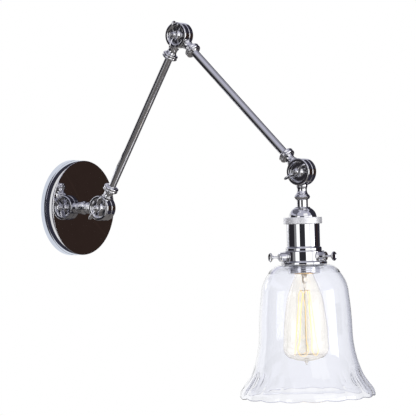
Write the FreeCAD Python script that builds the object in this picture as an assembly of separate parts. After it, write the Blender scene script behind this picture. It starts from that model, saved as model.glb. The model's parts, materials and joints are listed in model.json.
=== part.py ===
"""Swing arm wall sconce: canopy, two arms on three friction knuckles, metal lamp holder and glass bell shade.

The origin is the centre of the canopy's back, where it meets the wall. The wall is the plane Y = 0, the lamp
reaches out towards -Y, and +Z is up. Both arms and the lamp head lie in the plane X = 0.
Every arm piece is built standing up along +Z from its knuckle's pivot, then leant over about X and moved.
"""

import FreeCAD, Part
import math
import os

V = FreeCAD.Vector

# Layout, in mm and degrees. A lean is the turn about X that carries +Z to the piece's own direction.
PIVOT_OUT = 50.0
LOWER_ARM_LENGTH = 250.9
UPPER_ARM_LENGTH = 251.3
STEM_LEAN = -90.0
LOWER_ARM_LEAN = 29.75
UPPER_ARM_LEAN = 132.74
HEAD_LEAN = 177.8
OUTWARD = 90.0

# Canopy and what is behind it
CANOPY_R = 62.5
CANOPY_DEPTH = 19.3
CANOPY_WALL = 1.2
STEP_OUT = 7.5
STEP_TAPER = 0.55
SHOULDER_DROP = 0.8
BAND_OUT = 14.0
BAND_LEAN = 0.3
NIPPLE_R = 5.0
NIPPLE_BORE = 3.4
EDGE_R = 0.7
CANOPY_PLAY = 0.1
BAR_LENGTH = 112.0
BAR_WIDTH = 22.0
BAR_THICKNESS = 2.0
BAR_STANDOFF = 3.0
SLOT_SPACING = 84.0
SLOT_LENGTH = 14.0
SLOT_WIDTH = 5.0
NUT_THICKNESS = 2.8
LOCK_WASHER_THICKNESS = 0.8
EARTH_SCREW_R = 2.0
EARTH_SCREW_UP = 22.0
CONNECTOR_SIDE = 28.0
CONNECTOR_UP = 12.0
CONNECTOR_OUT = 9.5

# Knuckle: two discs face to face on an axis along X, held by a wing screw
DISC_R = 16.2
HALF_THICKNESS = 8.5
PARTING_GAP = 0.8
WASHER_R = 14.8
WASHER_PLAY = 0.08
RIM_CHAMFER = 0.9
DISH_R = 12.4
DISH_DEPTH = 3.0
FAR_DISH_DEPTH = 1.2
CHAMBER_OUTER_R = 9.6
CHAMBER_INNER_R = 4.6
CHAMBER_DEPTH = 3.6
SWEEP_CLEARANCE = 0.6
SCREW_R = 2.5
SCREW_RUNNING = 0.06
WIRE_BORE = 3.2

# Wing screw
WING_TIP_R = 17.3
WING_OUT = 9.0
WING_THICKNESS = 1.9
BASE_WING_TURN = 33.0
ELBOW_WING_TURN = 8.0
HEAD_WING_TURN = 58.5

# Arm ends
ROOT_START = DISH_R + 0.8
TUBE_R = 5.0
TUBE_WALL = 1.0
SPIGOT_R = 7.0
STEM_END = 31.4
SPIGOT_START = 25.6
TUBE_START = 24.5
COLLAR_R = 9.9
SWIVEL_R = 6.4
SWIVEL_BEAD_R = 7.6
BASE_COLLAR_R = 8.8

# Lamp head, measured along its own axis from the head pivot
CAP_START = 42.0
CAP_END = 54.0
RING_START = 54.3
RING_END = 62.1
RING_R = 23.0
BODY_R = 20.0
BODY_END = 89.0
FLARE_R = 21.8
GALLERY_START = 94.3
GALLERY_END = 106.6
GALLERY_R = 24.8
FLANGE_R = 27.8
FLANGE_END = 110.5
SKIRT_R = 19.0
SKIRT_END = 118.6
SHELL_WALL = 1.0
BOSS_R = 5.6
BOSS_OUT = 31.5
THUMB_AXIS_S = 101.0
THUMB_OUT = 44.0
THUMB_HEAD_R = 5.6
THUMB_TURNS = (-148.6, -28.6, 91.4)

# Glass
GLASS_WALL = 2.6
NECK_R = 21.6
NECK_TOP = 97.5
SHOULDER_S = 110.7
BELL_S = 193.0
BELL_R = 55.9
RIM_S = 268.0
RIM_R = 81.0
BULB_GLASS_WALL = 0.8
BULB_R = 27.0
BULB_NECK_R = 10.6
BULB_TIP_S = 230.5
BULB_CAP_R = 12.9
BULB_CAP_START = 93.5
BULB_CAP_END = 120.2
THREAD_PITCH = 3.6
THREAD_TURNS = 5
FILAMENT_TOP = 142.0
FILAMENT_LOW = 218.0
FILAMENT_R = 14.5
FILAMENT_TOP_R = 6.0
FILAMENT_STRANDS = 10
POST_R = 0.5
MOUNT_END = 139.0


def outline(points):
    """A closed face in the plane X-Z from (along, radius) points; a pair is an arc through its first point."""
    edges = []
    first = points[0]
    here = V(first[1], 0, first[0])
    for step in points[1:] + [first]:
        curved = isinstance(step[0], tuple)
        end = step[1] if curved else step
        there = V(end[1], 0, end[0])
        if curved:
            arc = Part.Arc(here, V(step[0][1], 0, step[0][0]), there).toShape()
            tight = arc.Curve.Center.x < arc.Curve.Radius
            edges.append(arc.Curve.toBSpline(*arc.ParameterRange).toShape() if tight else arc)
        elif here.distanceToPoint(there) > 1e-6:
            edges.append(Part.LineSegment(here, there).toShape())
        here = there
    return Part.Face(Part.Wire(edges))


def turned(points):
    """A solid turned about +Z from (along, radius) points."""
    return outline(points).revolve(V(0, 0, 0), V(0, 0, 1), 360)


def rod(radius, start, end):
    """A round bar on +Z."""
    return Part.makeCylinder(radius, end - start, V(0, 0, start))


def pipe(outer, inner, start, end):
    """A round tube on +Z."""
    return rod(outer, start, end).cut(rod(inner, start - 1, end + 1))


def cross_rod(radius, start, end):
    """A round bar on the X axis."""
    return Part.makeCylinder(radius, end - start, V(start, 0, 0), V(1, 0, 0))


def across(shape):
    """Turns a solid built on +Z so that it lies on +X."""
    shape.rotate(V(0, 0, 0), V(0, 1, 0), 90)
    return shape


def one(shape):
    """The shape's only solid, out of the compound that joining makes."""
    return shape.Solids[0]


def along(lean, distance):
    """The vector of this length in the direction that the lean gives."""
    turn = math.radians(lean)
    return V(0, -distance * math.sin(turn), distance * math.cos(turn))


BASE_PIVOT = V(0, -PIVOT_OUT, 0)
ELBOW_PIVOT = BASE_PIVOT + along(LOWER_ARM_LEAN, LOWER_ARM_LENGTH)
HEAD_PIVOT = ELBOW_PIVOT + along(UPPER_ARM_LEAN, UPPER_ARM_LENGTH)


def placed(shape, pivot, lean):
    """Leans a shape over about X and moves it to its pivot."""
    shape.rotate(V(0, 0, 0), V(1, 0, 0), lean)
    shape.translate(pivot)
    return shape


def save(name, shape):
    """Writes one sub-part, or a group of like solids, as a STEP file."""
    shape.exportStep(os.path.join("parts", name + ".step"))


# Canopy, turned about the line out from the wall


def canopy():
    """A shallow turned pan: tapered skirt, straight band, then a band that leans in to the flat face."""
    shoulder_r = CANOPY_R - SHOULDER_DROP
    edge_start_r = shoulder_r - BAND_LEAN
    face_r = edge_start_r - EDGE_R
    inside = CANOPY_DEPTH - CANOPY_WALL
    corner = EDGE_R * (1 - math.sqrt(0.5))
    shell = turned([
        (0.0, CANOPY_R - CANOPY_WALL),
        (0.0, CANOPY_R),
        (STEP_OUT, CANOPY_R - STEP_TAPER),
        (STEP_OUT + 0.4, shoulder_r),
        (BAND_OUT, shoulder_r),
        (CANOPY_DEPTH - EDGE_R, edge_start_r),
        ((CANOPY_DEPTH - corner, edge_start_r - corner), (CANOPY_DEPTH, face_r)),
        (CANOPY_DEPTH, NIPPLE_R),
        (inside, NIPPLE_R),
        (inside, face_r - 2.0),
        (inside - 1.5, edge_start_r - CANOPY_WALL - 0.4),
        (STEP_OUT + 1.0, shoulder_r - CANOPY_WALL),
        (STEP_OUT - 0.6, CANOPY_R - STEP_TAPER - CANOPY_WALL),
    ])
    return placed(shell, V(0, 0, 0), OUTWARD)


def crossbar():
    """A steel strip across the wall box, with slots for its screws and holes for nipple and earth."""
    corner = V(-BAR_WIDTH / 2, -BAR_LENGTH / 2, BAR_STANDOFF)
    bar = Part.makeBox(BAR_WIDTH, BAR_LENGTH, BAR_THICKNESS, corner)
    for side in (-1, 1):
        bar = bar.cut(slot(side * SLOT_SPACING / 2))
    bar = bar.cut(rod(NIPPLE_R, 0, CANOPY_DEPTH))
    bar = bar.cut(Part.makeCylinder(EARTH_SCREW_R, CANOPY_DEPTH, V(0, EARTH_SCREW_UP, 0)))
    return placed(bar, V(0, 0, 0), OUTWARD)


def slot(middle):
    """A screw slot that runs across the strip's length, centred at this height."""
    half = (SLOT_LENGTH - SLOT_WIDTH) / 2
    body = Part.makeBox(SLOT_WIDTH, 2 * half, CANOPY_DEPTH, V(-SLOT_WIDTH / 2, middle - half, 0))
    for side in (-1, 1):
        body = body.fuse(Part.makeCylinder(SLOT_WIDTH / 2, CANOPY_DEPTH, V(0, middle + side * half, 0)))
    return body


def nipple():
    """Threaded tube that holds the canopy to the strip and carries the swivel."""
    threads = pipe(NIPPLE_R, NIPPLE_BORE, BAR_STANDOFF - NUT_THICKNESS, PIVOT_OUT - DISC_R - 4.2)
    return placed(threads, V(0, 0, 0), OUTWARD)


def hexagon(across_flats, start, end, bore):
    """A hexagon nut on +Z."""
    corners = []
    for i in range(7):
        turn = math.radians(60 * i + 30)
        radius = across_flats / math.sqrt(3)
        corners.append(V(radius * math.cos(turn), radius * math.sin(turn), start))
    nut = Part.Face(Part.makePolygon(corners)).extrude(V(0, 0, end - start))
    return nut.cut(rod(bore, start - 1, end + 1))


def nipple_nuts():
    """A nut on each side of the strip."""
    front_start = BAR_STANDOFF + BAR_THICKNESS
    back = hexagon(14.0, BAR_STANDOFF - NUT_THICKNESS, BAR_STANDOFF, NIPPLE_R)
    front = hexagon(14.0, front_start, front_start + NUT_THICKNESS, NIPPLE_R)
    return placed(Part.makeCompound([back, front]), V(0, 0, 0), OUTWARD)


def canopy_nut():
    """The nut inside the canopy that clamps its face to the nipple."""
    end = CANOPY_DEPTH - CANOPY_WALL - LOCK_WASHER_THICKNESS
    return placed(hexagon(16.0, end - NUT_THICKNESS, end, NIPPLE_R), V(0, 0, 0), OUTWARD)


def canopy_lock_washer():
    """The toothed washer between that nut and the canopy."""
    inside = CANOPY_DEPTH - CANOPY_WALL
    teeth = 12
    washer = pipe(8.6, NIPPLE_R, inside - LOCK_WASHER_THICKNESS, inside)
    for i in range(teeth):
        notch = Part.makeBox(1.2, 0.8, 2, V(7.6, -0.4, inside - 1.4))
        notch.rotate(V(0, 0, 0), V(0, 0, 1), 360 / teeth * i)
        washer = washer.cut(notch)
    return placed(washer, V(0, 0, 0), OUTWARD)


def ground_screw():
    """The earth screw in the strip, above the nipple."""
    top = BAR_STANDOFF + BAR_THICKNESS
    screw = turned([
        (top - 4.0, 0.0),
        (top - 4.0, EARTH_SCREW_R),
        (top, EARTH_SCREW_R),
        (top, 4.0),
        (top + 1.4, 4.0),
        ((top + 2.4, 3.0), (top + 2.6, 0.0)),
    ])
    screw = screw.cut(Part.makeBox(9, 0.9, 2, V(-4.5, -0.45, top + 1.2)))
    screw.translate(V(0, EARTH_SCREW_UP, 0))
    return placed(screw, V(0, 0, 0), OUTWARD)


def wire_connectors():
    """Two twist-on caps that join the lamp's leads to the wall's, one each side of the strip."""
    caps = []
    for side in (-1, 1):
        cap = turned([
            (0.0, 0.0),
            (0.0, 5.4),
            (6.0, 5.0),
            (17.0, 3.4),
            ((18.6, 2.4), (19.0, 0.0)),
        ])
        for turn in (0, 180):
            grip = Part.makeBox(2.6, 1.2, 7.0, V(4.2, -0.6, 0.0))
            grip.rotate(V(0, 0, 0), V(0, 0, 1), turn)
            cap = cap.fuse(grip)
        cap = one(cap.cut(turned([(-1.0, 0.0), (-1.0, 4.0), (12.0, 2.2), (12.0, 0.0)])))
        cap.rotate(V(0, 0, 0), V(1, 0, 0), 90)
        cap.translate(V(side * CONNECTOR_SIDE, CONNECTOR_UP, CONNECTOR_OUT))
        caps.append(cap)
    return placed(Part.makeCompound(caps), V(0, 0, 0), OUTWARD)


# Knuckles


def disc(side, dish_depth):
    """One of a knuckle's two discs, on the side of X that side gives: rim, dish and wiring chamber."""
    inner = PARTING_GAP / 2
    outer = HALF_THICKNESS
    round_edge = 1.3
    bevel = round_edge * (1 - math.sqrt(0.5))
    body = turned([
        (inner, SCREW_R + SCREW_RUNNING),
        (inner, DISC_R - RIM_CHAMFER),
        (inner + RIM_CHAMFER, DISC_R),
        (outer - round_edge, DISC_R),
        ((outer - bevel, DISC_R - bevel), (outer, DISC_R - round_edge)),
        (outer, DISH_R + 1.0),
        (outer - dish_depth, DISH_R),
        (outer - dish_depth, SCREW_R + SCREW_RUNNING),
    ])
    chamber = pipe(CHAMBER_OUTER_R, CHAMBER_INNER_R, inner - 1, CHAMBER_DEPTH)
    body = across(body.cut(chamber))
    if side < 0:
        body = body.mirror(V(0, 0, 0), V(1, 0, 0))
    return body


def other_half(side):
    """The space on the far side of the parting plane that the knuckle's other disc sweeps."""
    far = 30.0
    start = min(-side * far, side * PARTING_GAP / 2)
    end = max(-side * far, side * PARTING_GAP / 2)
    return cross_rod(DISC_R + SWEEP_CLEARANCE, start, end)


def knuckle_half(side, stem_points, stem_end, dish_depth, end_bore, end_bore_start):
    """A disc with its stem, which stands on the knuckle's middle plane and is bored for the leads."""
    stem = turned([(ROOT_START, 0.0)] + stem_points + [(stem_end, 0.0)])
    half = disc(side, dish_depth).fuse(stem.cut(other_half(side)).cut(chamber_space(side)))
    half = half.cut(rod(WIRE_BORE, 8.0, stem_end + 1))
    half = half.cut(rod(end_bore, end_bore_start, stem_end + 1))
    return one(half)


def chamber_space(side):
    """What a stem's root must leave open inside its disc."""
    end = side * CHAMBER_DEPTH
    return cross_rod(CHAMBER_OUTER_R, min(0, end), max(0, end))


def waist(root_r, waist_r, end_r, end_s):
    """The concave part of a stem, from the disc's rim to the shoulder before its end."""
    middle = (DISC_R + end_s) / 2 + 0.6
    return [
        (ROOT_START, root_r),
        (DISC_R + 1.0, root_r),
        (DISC_R + 1.8, root_r - 0.5),
        (DISC_R + 2.3, waist_r + 0.6),
        ((middle, waist_r), (end_s, end_r)),
    ]


def arm_end(side, dish_depth):
    """A knuckle half whose stem ends in a spigot for the arm's tube and collar."""
    points = waist(6.9, 5.9, SPIGOT_R, SPIGOT_START - 0.4)
    points.append((STEM_END, SPIGOT_R))
    return knuckle_half(side, points, STEM_END, dish_depth, TUBE_R, TUBE_START)


def base_stem():
    """The near half of the base knuckle, with a beaded stem running back to the canopy's face."""
    length = PIVOT_OUT - CANOPY_DEPTH - CANOPY_PLAY
    bead = (DISC_R + length) / 2
    points = [
        (ROOT_START, 6.9),
        (DISC_R + 1.0, 6.9),
        (DISC_R + 2.2, SWIVEL_R),
        (bead - 2.2, SWIVEL_R),
        ((bead, SWIVEL_BEAD_R), (bead + 2.2, SWIVEL_R)),
        (length, SWIVEL_R),
    ]
    swivel_bore = NIPPLE_R + SCREW_RUNNING
    return knuckle_half(-1, points, length, DISH_DEPTH, swivel_bore, DISC_R + 3.6)


def base_collar():
    """The small flared ring that covers the joint between stem and canopy."""
    end = PIVOT_OUT - CANOPY_DEPTH - CANOPY_PLAY
    return turned([
        (end - 3.4, SWIVEL_R),
        (end - 3.4, SWIVEL_R + 0.6),
        ((end - 2.4, BASE_COLLAR_R - 0.9), (end - 1.2, BASE_COLLAR_R)),
        (end, BASE_COLLAR_R),
        (end, SWIVEL_R),
    ])


def head_stem():
    """The far half of the head knuckle: a stem with a sharp-edged ring, then a tube down to the cap."""
    points = waist(6.9, 5.9, 7.4, 26.6)
    points += [
        (27.4, 8.6),
        (29.0, 9.2),
        (29.9, 9.9),
        (30.8, 9.2),
        (32.6, 8.4),
        (33.2, 6.75),
        (CAP_START, 6.75),
    ]
    return knuckle_half(1, points, CAP_START, FAR_DISH_DEPTH, NIPPLE_R, 34.0)


def friction_washer():
    """A fibre ring between the discs; it stays with the near one."""
    ring = pipe(WASHER_R, CHAMBER_OUTER_R + 0.6, -PARTING_GAP / 2, PARTING_GAP / 2 - WASHER_PLAY)
    return across(ring)


def wing_screw(turn):
    """A clamping screw on the -X side: shank, conical hub in the dish, and two wings splayed outwards."""
    seat = HALF_THICKNESS - DISH_DEPTH + WASHER_PLAY
    hub = turned([
        (1.6 - HALF_THICKNESS, 0.0),
        (1.6 - HALF_THICKNESS, SCREW_R - 0.5),
        (2.1 - HALF_THICKNESS, SCREW_R),
        (seat, SCREW_R),
        (seat, 6.4),
        (seat + 1.0, 6.4),
        ((seat + 3.4, 4.6), (seat + 7.2, 3.9)),
        ((seat + 8.6, 3.2), (seat + 9.0, 0.0)),
    ])
    hub.rotate(V(0, 0, 0), V(0, 1, 0), -90)
    screw = hub
    for side in (-1, 1):
        screw = screw.fuse(wing(seat, side))
    screw = one(screw)
    screw.rotate(V(0, 0, 0), V(1, 0, 0), turn)
    return screw


def wing(seat, side):
    """One flat wing in the plane of the screw's axis, on the side of Z that side gives."""
    tip = HALF_THICKNESS + WING_OUT
    root = seat + 1.6
    lobe = 3.4
    wing_points = [
        (root, 1.0),
        (root, 3.4),
        ((root + 1.6, 8.8), (tip - 2 * lobe - 0.4, WING_TIP_R - 2.4)),
        ((tip - lobe + 0.8, WING_TIP_R), (tip, WING_TIP_R - 3.2)),
        ((tip - 0.8, 9.6), (seat + 6.8, 3.6)),
        (seat + 6.8, 1.0),
    ]
    plate = outline(wing_points)
    plate.translate(V(0, -WING_THICKNESS / 2, 0))
    plate = plate.extrude(V(0, WING_THICKNESS, 0))
    plate.rotate(V(0, 0, 0), V(0, 1, 0), -90)
    if side < 0:
        plate = plate.mirror(V(0, 0, 0), V(0, 0, 1))
    return plate


# Arms


def arm_collar():
    """The beaded nut that holds an arm's tube to its knuckle."""
    return turned([
        (SPIGOT_START, SPIGOT_R),
        (SPIGOT_START, 8.0),
        ((SPIGOT_START + 0.5, COLLAR_R - 0.7), (SPIGOT_START + 1.7, COLLAR_R)),
        ((SPIGOT_START + 2.7, 9.9), (SPIGOT_START + 3.1, 9.3)),
        ((SPIGOT_START + 3.6, COLLAR_R - 0.5), (SPIGOT_START + 4.6, COLLAR_R)),
        ((SPIGOT_START + 6.0, 9.5), (SPIGOT_START + 6.7, 7.8)),
        (SPIGOT_START + 6.7, 6.6),
        (SPIGOT_START + 7.6, 6.2),
        (SPIGOT_START + 7.6, TUBE_R),
        (STEM_END, TUBE_R),
        (STEM_END, SPIGOT_R),
    ])


def arm_tube(length):
    """The bare tube, which ends inside both knuckle stems."""
    return pipe(TUBE_R, TUBE_R - TUBE_WALL, TUBE_START, length - TUBE_START)


def arm_leads(length):
    """The two insulated wires inside a tube."""
    wire_r = 1.3
    wires = []
    for side in (-1, 1):
        start = V(side * 1.6, 0, TUBE_START + 2)
        wires.append(Part.makeCylinder(wire_r, length - 2 * TUBE_START - 4, start))
    return Part.makeCompound(wires)


def turned_round(shape, length):
    """The same piece at an arm's other end, facing back along it."""
    shape.rotate(V(0, 0, 0), V(1, 0, 0), 180)
    shape.translate(V(0, 0, length))
    return shape


# Lamp head


def head_cap():
    """The domed cap on the lamp holder."""
    return turned([
        (CAP_START, NIPPLE_R),
        (CAP_START, 8.9),
        (CAP_START + 0.9, 9.4),
        ((CAP_START + 5.2, 14.4), (CAP_END, 16.8)),
        (RING_START, 16.8),
        (RING_START, 15.6),
        ((CAP_START + 5.6, 12.6), (CAP_START + 2.0, 8.2)),
        (CAP_START + 2.0, NIPPLE_R),
    ])


def head_nipple():
    """The hollow screw that holds the cap to the head's stem."""
    return pipe(NIPPLE_R, WIRE_BORE, 35.0, CAP_START + 6.5)


def cap_nut():
    """The nut inside the cap."""
    return hexagon(13.0, CAP_START + 2.0, CAP_START + 5.2, NIPPLE_R)


def clamp_ring():
    """The satin ring round the top of the lamp holder."""
    return turned([
        (RING_START, 12.0),
        (RING_START, RING_R - 0.8),
        ((RING_START + 0.2, RING_R - 0.2), (RING_START + 0.8, RING_R)),
        (RING_END - 0.8, RING_R),
        ((RING_END - 0.2, RING_R - 0.2), (RING_END, RING_R - 0.8)),
        (RING_END, BODY_R - SHELL_WALL - 1.0),
        (RING_START + 2.2, BODY_R - SHELL_WALL - 1.0),
        (RING_START + 2.2, 12.0),
    ])


def socket_shell():
    """The polished barrel of the lamp holder, with its flared foot."""
    return turned([
        (RING_END, BODY_R - SHELL_WALL),
        (RING_END, BODY_R),
        (BODY_END, BODY_R),
        ((BODY_END + 0.8, BODY_R + 0.9), (BODY_END + 2.4, FLARE_R)),
        (GALLERY_START - 0.8, FLARE_R),
        (GALLERY_START, FLARE_R - 0.8),
        (GALLERY_START, BODY_R - SHELL_WALL),
    ])


def socket_insulator():
    """The ceramic block with the contacts' floor and the wall round the screw shell."""
    wall_r = 17.4
    bore = BULB_CAP_R + 1.6
    return turned([
        (RING_START + 2.4, 3.0),
        (RING_START + 2.4, wall_r - 2.0),
        (RING_END + 1.0, wall_r),
        (SKIRT_END - 3.0, wall_r),
        (SKIRT_END - 3.0, bore),
        (BULB_CAP_START - 6.0, bore),
        (BULB_CAP_START - 6.0, 3.0),
    ])


def screw_shell():
    """The threaded brass cup that takes the bulb's cap, with rolled thread rings."""
    inner = BULB_CAP_R + 0.4
    outer = BULB_CAP_R + 1.5
    shell = pipe(outer, inner, BULB_CAP_START - 5.0, SKIRT_END - 3.6)
    for i in range(THREAD_TURNS):
        groove_s = BULB_CAP_START + 1.5 + THREAD_PITCH * i
        shell = shell.cut(ring_groove(groove_s, inner, 0.5))
    return shell


def ring_groove(middle, radius, depth):
    """A rounded groove turned into a bore of this radius."""
    return turned([
        (middle - 1.2, radius - 0.2),
        (middle - 1.2, radius),
        ((middle, radius + depth), (middle + 1.2, radius)),
        (middle + 1.2, radius - 0.2),
    ])


def centre_contact():
    """The sprung tongue in the bottom of the lamp holder."""
    floor = BULB_CAP_START - 6.0
    tongue = Part.makeBox(9.0, 5.0, 0.6, V(-4.5, -2.5, floor))
    rivet = rod(2.9, RING_START + 3.0, floor + 0.6)
    tip = turned([
        (floor + 0.5, 0.0),
        (floor + 0.5, 2.4),
        ((floor + 1.9, 1.6), (floor + 2.2, 0.8)),
        (floor + 2.2, 0.0),
    ])
    return one(tongue.fuse(rivet).fuse(tip))


def gallery_bosses():
    """The places round the gallery where the shade screws go."""
    bosses = []
    for turn in THUMB_TURNS:
        root = V(GALLERY_R - 2, 0, THUMB_AXIS_S)
        boss = Part.makeCylinder(BOSS_R, BOSS_OUT - GALLERY_R + 2, root, V(1, 0, 0))
        collar = Part.makeCylinder(BOSS_R - 1.6, 1.2, V(BOSS_OUT, 0, THUMB_AXIS_S), V(1, 0, 0))
        boss = boss.fuse(collar)
        boss.rotate(V(0, 0, 0), V(0, 0, 1), turn)
        bosses.append(boss)
    return bosses


def screw_holes():
    """The holes for the shade screws."""
    holes = []
    reach = BOSS_OUT - NECK_R + 4
    for turn in THUMB_TURNS:
        hole = Part.makeCylinder(1.5 + SCREW_RUNNING, reach, V(NECK_R, 0, THUMB_AXIS_S), V(1, 0, 0))
        hole.rotate(V(0, 0, 0), V(0, 0, 1), turn)
        holes.append(hole)
    return holes


def gallery():
    """The shade holder: a shallow cup with a rolled flange and three bosses."""
    inner = GALLERY_R - SHELL_WALL
    cup = turned([
        (GALLERY_START, SKIRT_R),
        (GALLERY_START, GALLERY_R - 0.8),
        ((GALLERY_START + 0.2, GALLERY_R - 0.2), (GALLERY_START + 0.8, GALLERY_R)),
        (GALLERY_END - 0.5, GALLERY_R),
        ((GALLERY_END - 0.1, GALLERY_R + 0.4), (GALLERY_END + 0.2, FLANGE_R - 0.7)),
        ((GALLERY_END + 0.6, FLANGE_R - 0.1), (GALLERY_END + 1.2, FLANGE_R)),
        (FLANGE_END - 0.6, FLANGE_R),
        ((FLANGE_END - 0.1, FLANGE_R - 0.3), (FLANGE_END, FLANGE_R - 0.9)),
        (FLANGE_END, inner),
        (GALLERY_START + SHELL_WALL, inner),
        (GALLERY_START + SHELL_WALL, SKIRT_R),
    ])
    for boss in gallery_bosses():
        cup = cup.fuse(boss)
    cup = cup.cut(rod(inner, GALLERY_START + SHELL_WALL, FLANGE_END + 1))
    for hole in screw_holes():
        cup = cup.cut(hole)
    return one(cup)


def gallery_nut():
    """The long threaded skirt that clamps the gallery to the lamp holder's barrel."""
    return turned([
        (GALLERY_START, 17.5),
        (GALLERY_START, SKIRT_R),
        (SKIRT_END - 0.6, SKIRT_R),
        (SKIRT_END, SKIRT_R - 0.6),
        (SKIRT_END, 17.5),
    ])


def shade_screw(turn):
    """A thumb screw with a dished round head, whose tip holds the shade's neck."""
    neck = NECK_R + 0.35
    screw = turned([
        (neck, 0.0),
        (neck, 1.0),
        (neck + 0.6, 1.5),
        (THUMB_OUT - 4.6, 1.5),
        (THUMB_OUT - 4.2, 2.2),
        (THUMB_OUT - 1.6, 2.2),
        (THUMB_OUT - 1.4, THUMB_HEAD_R - 0.5),
        ((THUMB_OUT - 0.9, THUMB_HEAD_R), (THUMB_OUT - 0.4, THUMB_HEAD_R)),
        ((THUMB_OUT + 0.1, THUMB_HEAD_R - 0.2), (THUMB_OUT + 0.3, THUMB_HEAD_R - 0.7)),
        ((THUMB_OUT - 0.3, 2.4), (THUMB_OUT - 0.5, 0.0)),
    ])
    across(screw)
    screw.translate(V(0, 0, THUMB_AXIS_S))
    screw.rotate(V(0, 0, 0), V(0, 0, 1), turn)
    return screw


def shade_glass():
    """The bell: neck inside the gallery, flat shoulder under its flange, long curve out to the rim."""
    wall = GLASS_WALL
    lip = NECK_R - wall
    outer = [
        (NECK_TOP + 0.8, NECK_R),
        (SHOULDER_S - 0.6, NECK_R),
        ((SHOULDER_S - 0.1, NECK_R + 0.5), (SHOULDER_S + 0.1, NECK_R + 1.6)),
        (SHOULDER_S + 0.3, 31.0),
        ((SHOULDER_S + 3.6, 38.0), (121.0, 43.4)),
        ((130.0, 48.8), (142.0, 52.2)),
        ((165.0, 54.6), (BELL_S, BELL_R)),
        ((222.0, 60.2), (240.0, 66.4)),
        ((248.5, 71.4), (254.5, 76.0)),
        ((260.0, 79.6), (RIM_S - 1.2, RIM_R)),
    ]
    inner = [
        ((RIM_S, RIM_R - wall / 2), (RIM_S - 1.2, RIM_R - wall)),
        ((261.2, 77.3), (256.2, 74.0)),
        ((250.2, 69.5), (241.4, 64.1)),
        ((223.0, 57.6), (BELL_S + 0.3, BELL_R - wall)),
        ((165.3, 52.0), (142.7, 49.7)),
        ((131.2, 46.4), (122.8, 41.5)),
        ((117.0, 36.6), (SHOULDER_S + wall + 0.3, 30.6)),
        (SHOULDER_S + wall, lip + 1.6),
        ((SHOULDER_S + wall - 0.4, lip + 0.5), (SHOULDER_S + wall - 1.4, lip)),
        (NECK_TOP + 0.8, lip),
    ]
    return turned([(NECK_TOP, NECK_R - 0.8)] + outer + inner + [(NECK_TOP, lip + 0.8)])


# Bulb, on the lamp head's axis


def bulb_profile(inset, start, tip):
    """The bulb's outline, drawn in by inset: narrow neck, slow swell to a low shoulder, then a pip."""
    return [
        (start, BULB_NECK_R - inset),
        ((126.0, 12.2 - inset), (133.0, 15.4 - inset)),
        ((146.0, 20.0 - inset), (164.0, 23.4 - inset)),
        ((184.0, 26.0 - inset), (204.0, BULB_R - inset)),
        ((216.0 - 0.5 * inset, 25.8 - inset), (222.5 - inset, 19.2 - inset)),
        ((225.2 - inset, 11.0 - inset * 0.4), (226.0 - inset, 3.2)),
        (tip - 2.0, 1.4),
        ((tip - 0.5, 0.9), (tip, 0.0)),
    ]


def bulb_glass():
    """The clear envelope, open inside, with its skirt in the cap."""
    swell_start = BULB_CAP_END + 2.5
    outer = [(BULB_CAP_END - 4.0, 0.0), (BULB_CAP_END - 4.0, BULB_NECK_R)]
    outer += bulb_profile(0.0, swell_start, BULB_TIP_S)
    inner = [(BULB_CAP_END - 5.0, 0.0), (BULB_CAP_END - 5.0, BULB_NECK_R - BULB_GLASS_WALL)]
    inner += bulb_profile(BULB_GLASS_WALL, swell_start, BULB_TIP_S - 3.0)
    return turned(outer).cut(turned(inner))


def bulb_cap():
    """The screw cap, a thin shell with rolled thread rings."""
    start = BULB_CAP_START
    shell = turned([
        (start, 6.0),
        (start, 11.0),
        (start + 1.2, BULB_CAP_R - 0.5),
        (BULB_CAP_END - 2.0, BULB_CAP_R - 0.5),
        (BULB_CAP_END, BULB_CAP_R - 0.9),
        (BULB_CAP_END, BULB_NECK_R),
        (start + 1.4, BULB_NECK_R),
        (start + 1.4, 6.0),
    ])
    for i in range(THREAD_TURNS):
        middle = start + 3.3 + THREAD_PITCH * i
        thread = turned([
            (middle - 1.3, BULB_CAP_R - 0.7),
            ((middle, BULB_CAP_R), (middle + 1.3, BULB_CAP_R - 0.7)),
        ])
        shell = shell.fuse(thread)
    return one(shell)


def bulb_insulator():
    """The dark glass button in the end of the cap."""
    start = BULB_CAP_START
    return turned([
        (start - 2.4, 4.6),
        (start, 6.0),
        (start + 1.4, 6.0),
        (start + 1.4, 2.0),
        (start - 2.4, 2.0),
    ])


def bulb_contact():
    """The solder-tipped centre contact."""
    start = BULB_CAP_START
    return turned([
        (start + 1.4, 0.0),
        (start + 1.4, 2.0),
        (start - 2.4, 2.0),
        (start - 2.4, 4.2),
        ((start - 3.0, 3.4), (start - 3.3, 1.6)),
        (start - 3.3, 0.0),
    ])


def bulb_stem():
    """The flared glass mount inside the neck, with its press and button."""
    foot_r = BULB_NECK_R - BULB_GLASS_WALL
    return turned([
        (BULB_CAP_END - 3.6, 0.0),
        (BULB_CAP_END - 3.6, foot_r),
        (BULB_CAP_END - 2.6, foot_r),
        ((122.4, 4.6), (129.0, 3.6)),
        ((131.6, 3.0), (133.0, 1.6)),
        (136.0, 1.2),
        ((137.6, 1.6), (MOUNT_END, 0.0)),
    ])


def bulb_filament():
    """The long squirrel-cage filament, as thin straight strands on a cone between two rings of hooks."""
    strands = []
    wire_r = 0.28
    for i in range(FILAMENT_STRANDS):
        turn = 2 * math.pi * i / FILAMENT_STRANDS
        top = V(FILAMENT_TOP_R * math.cos(turn), FILAMENT_TOP_R * math.sin(turn), FILAMENT_TOP)
        low = V(FILAMENT_R * math.cos(turn), FILAMENT_R * math.sin(turn), FILAMENT_LOW)
        strands.append(Part.makeCylinder(wire_r, (low - top).Length, top, low - top))
    return Part.makeCompound(strands)


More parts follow.
